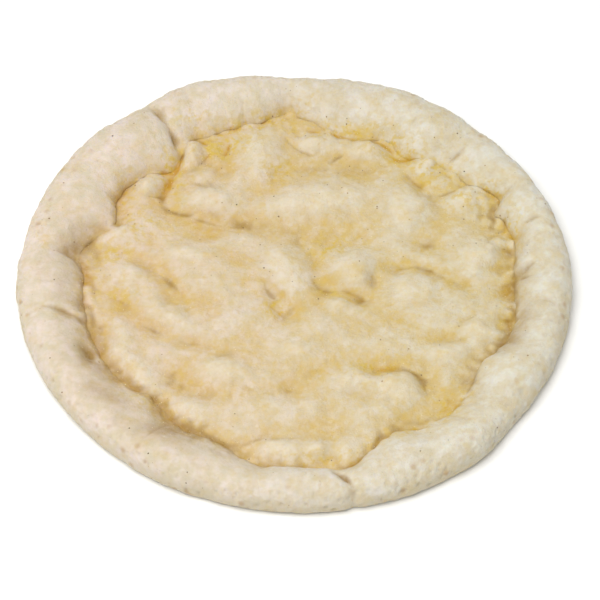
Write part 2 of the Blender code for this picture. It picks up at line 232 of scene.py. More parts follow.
RIM_CREASES = rows(
    Crease,
    (-88, 124, -68, 92, 2, 2.2, 3.4, 0.3), (-114, 73, -98, 55, -2, 4.0, 0.6, -0.4),
    (-121, 42, -118, 12, -2, 9.0, 1.0), (-118, 4, -113, -24, 0, 7.0, 1.2),
    (-91, 74, -98, 50, 2, 2.6, 3.0), (-142, 15, -116, 10, 2, 2.4, 0.9, 0.4),
    (-142, -25, -114, -31, 3, 2.2, 2.6, -0.5), (-118, -28, -104, -36, 1, 2.4, 2.6),
    (-120, -49, -106, -57, 1, 6.5, 1.8), (-114, -52, -105, -58, 1, 2.4, 0.8),
    (29, -147, 17, -127, -3, 2.2, 3.2), (24, -154, 29, -143, 0, 2.4, 1.4),
    (-20, -149, -20, -140, 0, 2.0, 0.7), (148, 6, 120, 3, -3, 2.4, 1.0), (145, 26, 120, 21, -2, 2.4, 0.9),
    (142, 38, 122, 34, -1, 2.4, 1.0), (135, -2, 120, -1, 1, 2.2, 0.9), (148, -25, 120, -21, -2, 2.6, 0.8),
    (96, 106, 84, 80, 3, 6.5, 1.6), (70, 117, 64, 104, 0, 3.0, 1.0), (-7, 143, -6, 118, 2, 2.6, 1.0),
    (-67, 134, -59, 117, 1, 2.6, 0.7), (121, -92, 115, -78, 0, 2.6, 1.0),
    (-118, 88, -102, 86, 1, 2.6, 0.5),
)

# The rim's puffy stretches, with half their length in degrees
RIM_BULGES = rows(
    Swell,
    (5, 4, 2.2), (11, 3.5, 1.8), (20, 7, 2.6), (31, 6.5, 2.4), (42, 7, 2.6), (53.5, 6.5, 2.4),
    (67, 9.5, 2.8), (84, 10.5, 2.8), (99.5, 7.5, 2.6), (111, 6.5, 2.4), (121, 5, 2.0), (136, 13, 3.4),
    (155, 9.5, 2.8), (168.5, 6.5, 2.3), (181.5, 9, 3.0), (194, 6.5, 2.6), (207, 9, 2.8), (223.5, 10, 2.6),
    (241, 10.5, 2.8), (256, 7.5, 2.4), (272, 11.5, 2.9), (291, 10.5, 2.9), (311, 12.5, 3.0),
    (330, 10, 2.8), (345, 8, 2.6), (357, 6, 2.3),
)

# Where the semolina was thrown, which also turns the painted shade in the folds there golden
DUSTINGS = rows(
    Dusting,
    (-12.5, -18, 12, 10, 0, 1.0), (18, 24, 20, 12, 45, 0.8), (-70, 75, 16, 34, 0, 0.9),
    (-42, 97, 34, 20, 20, 0.9), (56, 92, 30, 18, -30, 1.0), (74, 76, 26, 18, 0, 0.8),
    (92, 57, 26, 14, 0, 0.6), (107, 62, 20, 10, -30, 0.8), (117, 34, 10, 24, 0, 0.8),
    (112, -8, 12, 26, 0, 0.4), (113, -28, 12, 14, 0, 0.3), (25, 107, 60, 12, 0, 0.7),
    (-28, 110, 60, 11, 21, 0.9), (-10, 79, 16, 12, 0, 0.6), (-85, 40, 26, 18, 0, 0.6),
    (-95, -10, 18, 12, 0, 0.5), (-100, 20, 18, 20, 0, 0.5), (42, -58, 30, 12, 0, 0.6),
    (80, -82, 18, 26, -30, 0.6), (50, 9, 14, 8, 0, 0.5), (26, -9, 26, 6, -15, 0.35),
    (60, -100, 50, 10, 20, 0.6), (15, -118, 40, 10, 0, 0.5), (-60, 112, 24, 16, 0, 0.5),
    (-139, 20, 10, 12, 0, 0.4), (-80, -82, 84, 16, -42, 0.32), (-114, 0, 12, 46, 3, 0.42),
    (-108, -46, 12, 34, 27, 0.36), (-97, 59, 14, 28, -20, 0.5),
)

# -------------------- how strongly they are pressed

SEAM = 0.55 * MM             # rounding of the lines where the rim's puffy stretches meet
SETTLE = 0.9 * MM            # how gently a valley's bottom levels out where the dough is thinnest
RANDOM_LUMPS = 140           # small pillows and dimples of the floor
LUMPY_RADIUS = 112.0         # and how far out they lie, in mm
LUMP_SEED = 11
LUMP_GAIN = 2.7              # heights in the tables are multiplied by these
VALLEY_GAIN = 1.8
PINCH_GAIN = 1.25            # that of the creases across the rim
GROUND_LIFT = 2.0 * MM       # height of the floor's broad unevenness
GROUND_DROP = 0.6 * MM       # how far pressing lowers the whole floor
FLOOR_BILLOWING = 0.7        # shares of the random swellings that the floor and the rim take
RIM_BILLOWING = 0.32
PUFFINESS = 0.72             # share of the rim's bulges that is taken
PUFF_LEVEL = 1.7 * MM        # height of bulge that leaves the rim where it was
SKIRT = 0.62                 # share of a crease's depth that is its soft valley
CORE = 0.4                   # width of its sharp middle, as a share of the valley's

FINE_DENT = 2.2 * MM         # depths under the near and the far surroundings at which a dent is painted with shade
WIDE_DENT = 6.0 * MM
LINE_START = 0.7 * MM        # depth at which painted shade begins in a pressed line
LINE_FULL = 1.4 * MM         # and how much deeper it is when that painted shade is full
FOLD_DARKENING = 1.4         # how dark the painted shade is where the fold is sharpest
RIM_SOFTENING = 0.4          # how much fainter the painted crease shade is on the rim than on the floor
HOLLOW_DEPTH = 2.7 * MM      # depths of the hollows in which flour settles and shade is painted, by relief and by height
BASIN_DEPTH = 5.0 * MM
LEVEL_FLOUR_AND_SHADE = 0.36           # how floury, and how much painted shade, a level place has

STRETCH = np.array([0.9, 1.0, 1.0])   # random swellings are a little longer along X

# Random fields: size of their features and height in mm, and the place in the noise
WARP_SEED = 3                # of the shifts in WARP alone
WARP = (Layer(19.0, 2.4, (4.1, 9.2, 0.6)), Layer(6.0, 0.45, (7.7, 2.4, 3.1)))
BROAD = Layer(30.0, 1.4, (3.7, 1.3, 8.1))
BILLOWS = (
    Layer(24.0, 1.6, (1.9, 5.5, 2.7)), Layer(11.0, 2.2, (8.8, 3.9, 4.4)), Layer(5.0, 0.9, (2.9, 7.3, 1.6)),
)
RING = Layer(7.0, 1.6, (4.6, 0.2, 5.1))
PUCKER = Layer(8.0, 3.6, (3.1, 6.6, 0.9))
PUCKER_REACH = 9.0 * MM
UNEVEN = Layer(14.0, 1.0, (0.4, 2.2, 7.9))
GRAIN = Layer(2.6, 0.34, (2.2, 6.1, 9.3))
WRINKLE = Layer(11.0, 0.45, (5.6, 0.8, 1.2))
EDGE = Layer(9.0, 0.6, (3.3, 4.8, 6.2))
PIT = Layer(4.5, 1.6, (6.5, 4.7, 7.3))
PIT_WIDTH = 0.24             # of each pit, as a share of their spacing


def unit(values):
    """The values, cut off below 0 and above 1."""
    return np.clip(values, 0.0, 1.0)


def swells(angle, entries):
    """Sum of the smooth swells at each angle, in the unit of their sizes."""
    total = np.zeros_like(angle)
    for entry in entries:
        away = (angle - entry.angle + 180.0) % 360.0 - 180.0
        total += entry.size * np.exp(-0.5 * (away / entry.spread) ** 2)
    return total


def outer_radius(angle, radius):
    """Radius of the widest line at each angle."""
    turn = np.radians(angle - LONG_AXIS)
    drawn_out = LONG_SWELL * np.cos(2.0 * turn) + LOPSIDED * np.cos(turn)
    return radius + drawn_out + swells(angle, OUTLINE) * MM


def foot_radius(angle):
    """Radius of the fold at each angle."""
    turn = np.radians(angle)
    ring = FOOT_RADIUS * np.stack([np.cos(turn), np.sin(turn), 0.0 * turn], axis=1)
    return FOOT_RADIUS + swells(angle, FOOT) * MM + field(ring, RING) * RING.height * MM


def firmness(angle):
    """0 where the rim runs smoothly into the floor, 1 where a sharp fold parts them."""
    return unit(FIRMNESS + swells(angle, FIRMER))


def square_to_disc(side_x, side_y):
    """Polar place (share of the way out, degrees) of each point of a square from -1 to 1."""
    across = np.abs(side_x) >= np.abs(side_y)
    share = np.where(across, np.abs(side_x), np.abs(side_y))
    safe_x = np.where(side_x == 0.0, 1.0, side_x)
    safe_y = np.where(side_y == 0.0, 1.0, side_y)
    flat = 45.0 * side_y / safe_x + np.where(side_x < 0.0, 180.0, 0.0)
    steep = 90.0 - 45.0 * side_x / safe_y + np.where(side_y < 0.0, 180.0, 0.0)
    return share, np.where(across, flat, steep)


def rim_section(share, angle, settings):
    """Radius and height on the rim, with share 0 at its foot and 1 under its outer edge."""
    foot = foot_radius(angle)
    edge = outer_radius(angle, settings.radius)
    top = settings.crest_height + swells(angle, CREST) * MM
    firm = firmness(angle)
    crest = foot + (CREST_SHARE + swells(angle, CREST_OUTWARD)) * (edge - foot)

    inner = unit(share / INNER_SHARE) * 0.5 * math.pi
    fold = np.maximum(settings.floor_height - FOLD_DEPTH * firm, THINNEST)
    radius = crest - (crest - foot) * np.cos(inner) + OVERHANG * firm * np.exp(-share / OVERHANG_SHARE)
    height = fold + (top - fold) * np.sin(inner) ** (SOFT_FOOT + firm * (FIRM_FOOT - SOFT_FOOT))

    outer = unit((share - INNER_SHARE) / OUTER_SHARE) * 0.5 * math.pi
    radius = radius + (edge - crest) * np.sin(outer) ** FLATTENING
    height = height - (top - WIDEST_HEIGHT) * (1.0 - np.cos(outer) ** FLATTENING)

    under_start = INNER_SHARE + OUTER_SHARE
    under = unit((share - under_start) / (1.0 - under_start)) * 0.5 * math.pi
    radius = radius - EDGE_TUCK * (1.0 - np.cos(under))
    height = height - WIDEST_HEIGHT * np.sin(under)
    return radius, height


def sheet_points(side_x, side_y, settings):
    """The smooth dough before anything is pressed into it, with each point's place on the rim, its
    angle and the painted shade along the fold there, 0 to 1, which fades with distance from the fold."""
    share, angle = square_to_disc(side_x, side_y)
    on_rim = unit((share - FLOOR_SHARE) / (1.0 - FLOOR_SHARE))
    rim_radius, rim_height = rim_section(on_rim, angle, settings)
    start_radius, start_height = rim_section(np.zeros_like(angle), angle, settings)
    inward = unit(share / FLOOR_SHARE)
    from_fold = start_radius * (inward - 1.0)
    dip = (start_height - settings.floor_height) * np.exp(from_fold / FOLD_REACH)
    on_floor = share < FLOOR_SHARE
    radius = np.where(on_floor, start_radius * inward, rim_radius)
    height = np.where(on_floor, settings.floor_height + dip, rim_height)
    turn = np.radians(angle)
    points = np.stack([radius * np.cos(turn), radius * np.sin(turn), height], axis=1)
    # Painted shade along the fold: strongest at the fold, fading up the rim and over the floor, broader where
    # the fold shade table says
    shaded = swells(angle, PAINTED_FOLD_SHADE)
    shade = THIN_SHADE + np.where(on_floor, FLOOR_SHADE, RIM_SHADE) * shaded
    rim_width = outer_radius(angle, settings.radius) - start_radius
    fold = np.exp(-np.where(on_floor, -from_fold, on_rim * rim_width) / shade)
    fold = fold * unit(firmness(angle) + 0.6 * shaded)
    beside = np.where(on_floor, np.exp(from_fold / PUCKER_REACH), 1.0) * (1.0 + swells(angle, PUCKERED))
    return points, on_rim, angle, fold, beside


def oval_reach(x, y, spot):
    """Distance from the middle of an oval, 1 at its outline."""
    turn = math.radians(spot.turn)
    along = (x - spot.x * MM) * math.cos(turn) + (y - spot.y * MM) * math.sin(turn)
    across = (y - spot.y * MM) * math.cos(turn) - (x - spot.x * MM) * math.sin(turn)
    return np.hypot(along / (0.5 * spot.length * MM), across / (0.5 * spot.width * MM))


def at_least(heights, lowest):
    """The heights, brought up smoothly where they come near the lowest that is allowed."""
    return lowest + SETTLE * np.log1p(np.exp((heights - lowest) / SETTLE))


def unite(surfaces):
    """The highest of the surfaces at each point, with their meeting lines a little rounded."""
    stack = np.array(surfaces) / SEAM
    top = stack.max(axis=0)
    return (top + np.log(np.exp(stack - top).sum(axis=0))) * SEAM


def random_lumps():
    """Small pillows and dimples all over the floor, never the same size twice."""
    draw = np.random.default_rng(LUMP_SEED)
    lumps = []
    for _ in range(RANDOM_LUMPS):
        size = 7.0 + 10.0 * draw.random() ** 2
        reach = LUMPY_RADIUS * math.sqrt(draw.random())
        turn = 360.0 * draw.random()
        x, y = reach * math.cos(math.radians(turn)), reach * math.sin(math.radians(turn))
        height = size * (0.045 * draw.random() - 0.016)
        length = size * (1.1 + 0.7 * draw.random())
        lumps.append(Lump(x, y, length, size, 50.0 * draw.random() - 25.0, height))
    return tuple(lumps)


def lump_heights(x, y):
    """Soft pillows and valleys that run into each other."""
    total = np.zeros_like(x)
    for gain, lumps in ((LUMP_GAIN, LUMPS + random_lumps()), (-VALLEY_GAIN, VALLEYS)):
        for lump in lumps:
            total += gain * lump.height * MM * np.exp(-oval_reach(x, y, lump) ** 2.1)
    return total


def rim_bulges(places):
    """Puffy stretches of the rim, with a pinch between each and the next."""
    angle = np.degrees(np.arctan2(places[:, 1], places[:, 0]))
    bulges = []
    for bulge in RIM_BULGES:
        away = (angle - bulge.angle + 180.0) % 360.0 - 180.0
        reach = np.minimum((away / bulge.spread) ** 2, 4.0)
        bulges.append(bulge.size * MM * (1.0 - reach))
    return unite(bulges)


def dusting_amounts(x, y):
    """How thickly the semolina was dusted at each place."""
    total = np.zeros_like(x)
    for dusting in DUSTINGS:
        total = np.maximum(total, dusting.amount * np.exp(-oval_reach(x, y, dusting) ** 2))
    return total


def crease_depths(x, y, creases, start_depth):
    """Depth of the pressed lines. Each bows by its own amount, fades out at both ends and starts
    with that share of its full depth."""
    total = np.zeros_like(x)
    for crease in creases:
        start = np.array([crease.x0, crease.y0]) * MM
        run = np.array([crease.x1, crease.y1]) * MM - start
        length = float(np.hypot(*run))
        along = ((x - start[0]) * run[0] + (y - start[1]) * run[1]) / length ** 2
        across = ((y - start[1]) * run[0] - (x - start[0]) * run[1]) / length
        inside = unit(along)
        off_line = across - 4.0 * crease.bow * MM * inside * (1.0 - inside)
        off_line = off_line * (1.0 - crease.lean * np.sign(off_line))
        past_end = (along - inside) * length
        distance = np.hypot(off_line, past_end) / (crease.width * MM)
        taper = (1.0 - 0.85 * (2.0 * inside - 1.0) ** 4) * (start_depth + (1.0 - start_depth) * inside)
        valley = SKIRT * np.exp(-0.6 * distance ** 2) + (1.0 - SKIRT) * np.exp(-distance / CORE)
        total += crease.depth * MM * taper * valley
    return total


def field(points, layer, kind=noise.noise):
    """A soft random field at each point, with features of the layer's size."""
    size = layer.size * MM
    seed = Vector(layer.seed)
    return np.array([kind(Vector(point) / size + seed) for point in points])


def billows(points):
    """Rounded swellings of several sizes with creases between them."""
    total = np.zeros(len(points))
    for layer in BILLOWS:
        wave = field(points * STRETCH, layer)
        total += layer.height * (np.sqrt(wave ** 2 + 0.035) - 0.23)
    return total


def pits(points, layer):
    """1 in the middle of scattered pits, 0 elsewhere."""
    nearest = field(points, layer, lambda spot: noise.voronoi(spot)[0][:1])[:, 0]
    return np.exp(-(nearest / PIT_WIDTH) ** 2)


def spread(values, rounds):
    """The sheet's values smoothed over neighbouring points, again and again."""
    grid = values.reshape(SIDE, SIDE)
    for _ in range(rounds):
        padded = np.pad(grid, 1, mode="edge")
        grid = (padded[:-2, 1:-1] + padded[2:, 1:-1] + padded[1:-1, :-2] + padded[1:-1, 2:]) / 4.0
    return grid.ravel()


def warped(points):
    """Places for the features, shifted at random so that no line runs true."""
    noise.seed_set(WARP_SEED)
    places = points.copy()
    for layer in WARP:
        places += field(points, layer, noise.noise_vector) * layer.height * MM
    return places


def rim_wrinkles(points, on_rim, angle):
    """Wrinkles that run across the rim."""
    turn = np.radians(angle)
    round_rim = 1.15 * FOOT_RADIUS * np.stack([np.cos(turn), np.sin(turn), 0.0 * turn], axis=1)
    places = round_rim + np.stack([0.0 * turn, 0.0 * turn, on_rim * 9.0 * MM], axis=1)
    patchy = unit(0.55 + 1.4 * field(points, Layer(30.0, 1.0, (9.9, 8.8, 7.7))))
    wave = np.abs(field(places, WRINKLE))
    fine = np.abs(field(places, Layer(0.4 * WRINKLE.size, 1.0, WRINKLE.seed)))
    return -patchy * (np.exp(-wave / 0.09) + 0.4 * np.exp(-fine / 0.12))


def crease_shade_amounts(relief, lines, fold, on_rim):
    """How strongly each point is painted with shade in its dents, pressed lines and fold, from 0 to 1."""
    dent_shade = (spread(relief, 8) - relief) / FINE_DENT + (spread(relief, 40) - relief) / WIDE_DENT
    lines = np.maximum(lines - LINE_START, 0.0) / LINE_FULL
    softer = 1.0 - RIM_SOFTENING * unit(4.0 * on_rim - 0.2)
    depth = np.maximum((dent_shade + lines) * softer + FOLD_DARKENING * fold, 0.0)
    upper = unit(1.8 - 1.8 * on_rim)
    return upper * (1.0 - np.exp(-depth))


def hollow_amounts(relief, height):
    """How low each point lies among its wider surroundings: 1 in a hollow, -1 on top of a pillow."""
    soft = spread(relief, 10)
    # Drives both the flour that settles in hollows and the shade painted into them
    hollow = (spread(soft, 260) - soft) / HOLLOW_DEPTH + 0.6 * (spread(height, 150) - height) / BASIN_DEPTH
    return np.clip(LEVEL_FLOUR_AND_SHADE + hollow, -1.0, 1.0)


def press_dough(points, normals, on_rim, angle, fold, beside):
    """Moves the skin: lumps and valleys on the floor go up and down, those of the rim along its normal.
    Returns the points, how strongly each is painted with crease and fold shade, and how deep each lies in a
    hollow."""
    places = warped(points)
    x, y = places[:, 0], places[:, 1]
    floor = unit(1.0 - 6.0 * on_rim)
    top_side = unit((1.0 - on_rim) / (1.0 - INNER_SHARE - OUTER_SHARE))
    outer_side = unit(2.0 * on_rim - 0.8)
    swelling = billows(places)

    uneven = np.clip(1.0 + UNEVEN.height * field(points, UNEVEN), 0.45, 1.7)
    pressed = uneven * crease_depths(x, y, FLOOR_CREASES, 1.0)
    pinched = PINCH_GAIN * uneven * crease_depths(x, y, RIM_CREASES, 0.3)

    lumps = field(points, BROAD) * GROUND_LIFT + lump_heights(x, y) - pressed - GROUND_DROP
    puckers = beside * (np.sqrt(field(places, PUCKER) ** 2 + 0.01) - 0.22) * PUCKER.height * MM
    floor_lift = floor * (lumps + puckers + FLOOR_BILLOWING * swelling * MM)

    random_rim = (
        field(points, BROAD) * BROAD.height
        + RIM_BILLOWING * swelling
        + rim_wrinkles(points, on_rim, angle) * WRINKLE.height
        + field(points, EDGE) * EDGE.height * unit(2.0 * on_rim - 0.9)
        - pits(places, PIT) * PIT.height * outer_side
    )
    bulging = PUFFINESS * (rim_bulges(places) - PUFF_LEVEL) * unit(1.9 - 1.9 * on_rim)
    rim_lift = top_side * (random_rim * MM + bulging - pinched)
    fine = top_side * field(points, GRAIN) * GRAIN.height * MM

    moved = points + normals * ((1.0 - floor) * rim_lift + fine)[:, None]
    moved[:, 2] += floor_lift
    thin = on_rim < INNER_SHARE
    moved[thin, 2] = at_least(moved[thin, 2], THINNEST)

    relief = floor_lift + (1.0 - floor) * rim_lift
    lines = floor * pressed + (1.0 - floor) * pinched
    crease = crease_shade_amounts(relief, lines, fold * uneven, on_rim)
    return moved, crease, hollow_amounts(relief, moved[:, 2])


def grid_object(name, points, attributes):
    """The sheet as one closed mesh, with a flat face under it."""
    sheet = bmesh.new()
    bmesh.ops.create_grid(sheet, x_segments=CELLS, y_segments=CELLS, size=1.0)
    for vert, point in zip(sheet.verts, points):
        vert.co = point
    rim_edges = [edge for edge in sheet.edges if edge.is_boundary]
    bmesh.ops.contextual_create(sheet, geom=rim_edges)
    bmesh.ops.recalc_face_normals(sheet, faces=sheet.faces)
    mesh = bpy.data.meshes.new(name)
    sheet.to_mesh(mesh)
    sheet.free()
    mesh.shade_smooth()
    for key, values in attributes.items():
        layer = mesh.attributes.new(key, "FLOAT", "POINT")
        layer.data.foreach_set("value", values.astype(np.float32))
    return bpy.data.objects.new(name, mesh)


def sheet_normals(points):
    """Normals of the sheet, from its neighbours along both sides."""
    grid = points.reshape(SIDE, SIDE, 3)
    along_x = np.gradient(grid, axis=1)
    along_y = np.gradient(grid, axis=0)
    normals = np.cross(along_x, along_y).reshape(-1, 3)
    return normals / np.maximum(np.linalg.norm(normals, axis=1, keepdims=True), 1e-12)


def make_dough(settings):
    """The finished dough, centred on the solid that it replaces."""
    side = np.linspace(-1.0, 1.0, SIDE)
    side_x, side_y = (axis.ravel() for axis in np.meshgrid(side, side))
    points, on_rim, angle, fold, beside = sheet_points(side_x, side_y, settings)
    points, crease, low = press_dough(points, sheet_normals(points), on_rim, angle, fold, beside)
    dust = dusting_amounts(points[:, 0], points[:, 1])
    points[on_rim >= 1.0, 2] = 0.0
    near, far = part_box(NODE)
    middle = 0.5 * (points.min(axis=0) + points.max(axis=0))
    points[:, :2] += 0.5 * np.array((near + far)[:2]) - middle[:2]
    # The crease attribute holds the painted shade of creases and the fold; low drives the flour settled in
    # hollows, the shade painted there and the painted highlight on pillow tops
    return grid_object("dough", points, {"crease": crease, "low": low, "rim": on_rim, "dust": dust})


# -------------------- materials


def linear(code):
    """RGBA in linear light from an sRGB hex code."""
    shares = [int(code[i:i + 2], 16) / 255.0 for i in (1, 3, 5)]
    return tuple(s / 12.92 if s <= 0.04045 else ((s + 0.055) / 1.055) ** 2.4 for s in shares) + (1.0,)


def add(tree, kind, inputs=None, **settings):
    """Adds a node with its settings. An input given as a socket is linked, any other is set."""
    made = tree.nodes.new(kind)
    for name, value in settings.items():
        setattr(made, name, value)
    for name, value in (inputs or {}).items():
        if isinstance(value, bpy.types.NodeSocket):
            tree.links.new(value, made.inputs[name])
        else:
            made.inputs[name].default_value = value
    return made


def per_mm(size):
    """Texture scale for features of that many millimetres."""
    return 1.0 / (size * MM)


def new_material(name):
    """An empty material and its node tree."""
    material = bpy.data.materials.new(name)
    material.use_nodes = True
    material.node_tree.nodes.clear()
    return material, material.node_tree


FACTOR, COLOUR_A, COLOUR_B, MIXED = 0, 6, 7, 2   # sockets of a colour mix


def blended(tree, factor, colour_a, colour_b):
    """Mix of two colours, each a socket or a setting, with factor 1 for the second alone."""
    ends = [end if isinstance(end, bpy.types.NodeSocket) else (*end, 1.0) for end in (colour_a, colour_b)]
    mix = add(tree, "ShaderNodeMix", {FACTOR: factor, COLOUR_A: ends[0], COLOUR_B: ends[1]}, data_type="RGBA")
    return mix.outputs[MIXED]


def raw_dough(settings):
    """Raw wheat dough, proofed and pressed by hand: its moist starch lets light in, so its edges glow a
    little, while the skin stays a soft satin. Its folds, creases and hollows carry painted shade, and its
    pillow tops a painted highlight."""
    material, tree = new_material("raw_dough")
    place = add(tree, "ShaderNodeTexCoord").outputs["Object"]

    def attribute(name):
        return add(tree, "ShaderNodeAttribute", attribute_name=name).outputs["Fac"]

    def noise_of(size, detail=3.0):
        return add(tree, "ShaderNodeTexNoise", {
            "Vector": place, "Scale": per_mm(size), "Detail": detail, "Roughness": 0.6}).outputs["Fac"]

    def ramp(value, low, high, to_low=0.0, to_high=1.0):
        return add(tree, "ShaderNodeMapRange", {
            "Value": value, "From Min": low, "From Max": high, "To Min": to_low, "To Max": to_high,
        }, interpolation_type="SMOOTHSTEP").outputs["Result"]

    def times(first, second):
        return add(tree, "ShaderNodeMath", {0: first, 1: second}, operation="MULTIPLY").outputs[0]

    def plus(first, second):
        return add(tree, "ShaderNodeMath", {0: first, 1: second}, use_clamp=True).outputs[0]

    def blend(factor, colour_a, colour_b):
        return blended(tree, factor, colour_a, colour_b)

    crease, low, rim, dust = (attribute(name) for name in ("crease", "low", "rim", "dust"))
    clouds, mottle, flecks = noise_of(15.0), noise_of(5.5, 2.5), noise_of(1.2)

    # Ivory skin, pinker on one side, with cloudy paler and beige blotches under it
    across = add(tree, "ShaderNodeSeparateXYZ", {"Vector": place}).outputs["X"]
    rightwards = ramp(across, -0.12, 0.12)
    ivory = blend(rightwards, settings.left_colour, settings.right_colour)
    blotches = plus(times(ramp(clouds, 0.35, 0.65), 0.5), times(ramp(mottle, 0.38, 0.62), 0.42))
    ivory = blend(blotches, ivory, settings.beige_and_edge_shade_colour)
    # Painted shade: the rim's outer side is painted beige and darker towards its underside
    ivory = blend(ramp(rim, 0.7, 0.95, 0.0, 0.7), ivory, settings.beige_and_edge_shade_colour)

    # Painted highlight: the tops of the floor's pillows are painted paler
    floor = ramp(rim, 0.0, 0.32, 1.0, 0.0)
    ivory = blend(times(ramp(low, -0.5, 0.15, 0.5, 0.0), floor), ivory, settings.pale_colour)

    # Semolina flour rubbed into the floor, most of all into its hollows and along the fold, with painted
    # shade darkening the same hollows
    settled_flour_and_shade = times(plus(floor, 0.08), ramp(low, 0.0, 1.0, 0.35, 0.85))
    straw = times(ramp(noise_of(10.0), 0.48, 0.66), 0.16)
    uneven = times(ramp(noise_of(22.0), 0.35, 0.62, 0.78, 1.0), ramp(noise_of(4.5), 0.36, 0.6, 0.68, 1.0))
    flour = plus(times(settled_flour_and_shade, uneven), straw)
    rubbed_in = blend(rightwards, settings.flour_and_shade_colour, settings.lemon_flour_and_shade_colour)
    floury = blend(flour, ivory, rubbed_in)

    # Coarser semolina in flecks, thick where it was dusted
    flecked = plus(plus(times(flour, 0.4), 0.14), dust)
    dabs = plus(ramp(noise_of(3.2, 1.5), 0.44, 0.7), times(ramp(noise_of(7.0, 2.0), 0.46, 0.7), 0.6))
    grit = ramp(flecks, 0.45, 0.75, 0.0, 0.07)
    fleck = plus(times(flecked, plus(0.05, times(dabs, 0.95))), times(flecked, grit))
    yellow = blend(times(fleck, 0.85), floury, settings.dusting_colour)

    # Painted shade: creases and the fold are painted darker and golden in place of their shade, more golden
    # over semolina where it was dusted
    patchy = ramp(noise_of(9.0), 0.35, 0.6, 0.6, 0.95)
    golden = blend(rightwards, settings.golden_fold_shade_colour, settings.amber_fold_shade_colour)
    fold = blend(ramp(dust, 0.1, 0.6), settings.plain_fold_shade_colour, golden)
    with_fold_shade = blend(times(ramp(crease, 0.08, 0.9), patchy), yellow, fold)

    # Small tan stains in the rim's skin
    spots = add(tree, "ShaderNodeTexVoronoi", {"Vector": place, "Scale": per_mm(9.0)}).outputs["Distance"]
    where = times(ramp(rim, 0.4, 0.6), ramp(noise_of(17.0), 0.36, 0.48))
    stained = times(ramp(spots, 0.04, 0.3, 0.7, 0.0), where)
    skin = blend(stained, with_fold_shade, settings.stain_colour)

    relief = add(tree, "ShaderNodeBump", {
        "Height": noise_of(1.2, 4.0), "Strength": 1.0, "Distance": 0.5 * MM}).outputs["Normal"]
    surface = add(tree, "ShaderNodeBsdfPrincipled", {
        "Base Color": skin, "Roughness": ramp(mottle, 0.3, 0.7, 0.50, 0.66), "IOR": 1.42, "Normal": relief,
        "Specular IOR Level": 0.35, "Subsurface Weight": 0.6,
        "Subsurface Radius": (1.0, 0.8, 0.45), "Subsurface Scale": 2.0 * MM,
        "Sheen Weight": 0.05, "Sheen Roughness": 0.5})
    add(tree, "ShaderNodeOutputMaterial", {"Surface": surface.outputs["BSDF"]})
    return material


def two_shades(name, settings, finish):
    """A skin on which each loose piece has its own shade between the two colours."""
    material, tree = new_material(name)
    island = add(tree, "ShaderNodeNewGeometry").outputs["Random Per Island"]
    shade = blended(tree, island, settings.colour, settings.pale_colour)
    surface = add(tree, "ShaderNodeBsdfPrincipled", {"Base Color": shade, **finish})
    add(tree, "ShaderNodeOutputMaterial", {"Surface": surface.outputs["BSDF"]})
    return material


def semolina(settings):
    """Durum semolina: hard glassy grit, each grain its own shade of yellow."""
    return two_shades("semolina", settings, {"Roughness": 0.45, "IOR": 1.5})


def bran(settings):
    """Wheat bran: dry flakes of husk, dull and brown."""
    return two_shades("bran", settings, {"Roughness": 0.8})


def white_floor(settings):
    """Matt white paper sweep, as under a product shot."""
    material, tree = new_material("white_floor")
    place = add(tree, "ShaderNodeTexCoord").outputs["Object"]
    tooth = add(tree, "ShaderNodeTexNoise", {"Vector": place, "Scale": per_mm(1.0)}).outputs["Fac"]
    relief = add(tree, "ShaderNodeBump", {
        "Height": tooth, "Strength": 0.05, "Distance": 0.05 * MM}).outputs["Normal"]
    surface = add(tree, "ShaderNodeBsdfPrincipled", {
        "Base Color": (*settings.floor_colour, 1.0), "Roughness": 0.9, "Normal": relief,
        "Specular IOR Level": 0.2})
    add(tree, "ShaderNodeOutputMaterial", {"Surface": surface.outputs["BSDF"]})
    return material


# -------------------- scattered grains


GRAIN_DETAIL = 1             # subdivisions of the ball that each grain is


def grain_shape():
    """Points and triangles of one small ball."""
    ball = bmesh.new()
    bmesh.ops.create_icosphere(ball, subdivisions=GRAIN_DETAIL, radius=1.0)
    points = np.array([vert.co[:] for vert in ball.verts])
    faces = np.array([[vert.index for vert in face.verts] for face in ball.faces])
    ball.free()
    return points, faces


def surface_spots(dough, density, count, draw):
    """Random spots on the dough where the density is high: places and normals."""
    mesh = dough.data
    areas = np.empty(len(mesh.polygons))
    mesh.polygons.foreach_get("area", areas)
    centres = np.empty(len(mesh.polygons) * 3)
    mesh.polygons.foreach_get("center", centres)
    centres = centres.reshape(-1, 3)
    normals = np.empty(len(mesh.polygons) * 3)
    mesh.polygons.foreach_get("normal", normals)
    normals = normals.reshape(-1, 3)
    weight = areas * density(centres) * (normals[:, 2] > 0.1)
    chosen = draw.choice(len(areas), size=count, p=weight / weight.sum())
    jitter = (draw.random((count, 3)) - 0.5) * 0.9 * MM
    jitter -= normals[chosen] * np.sum(jitter * normals[chosen], axis=1, keepdims=True)
    return centres[chosen] + jitter, normals[chosen]


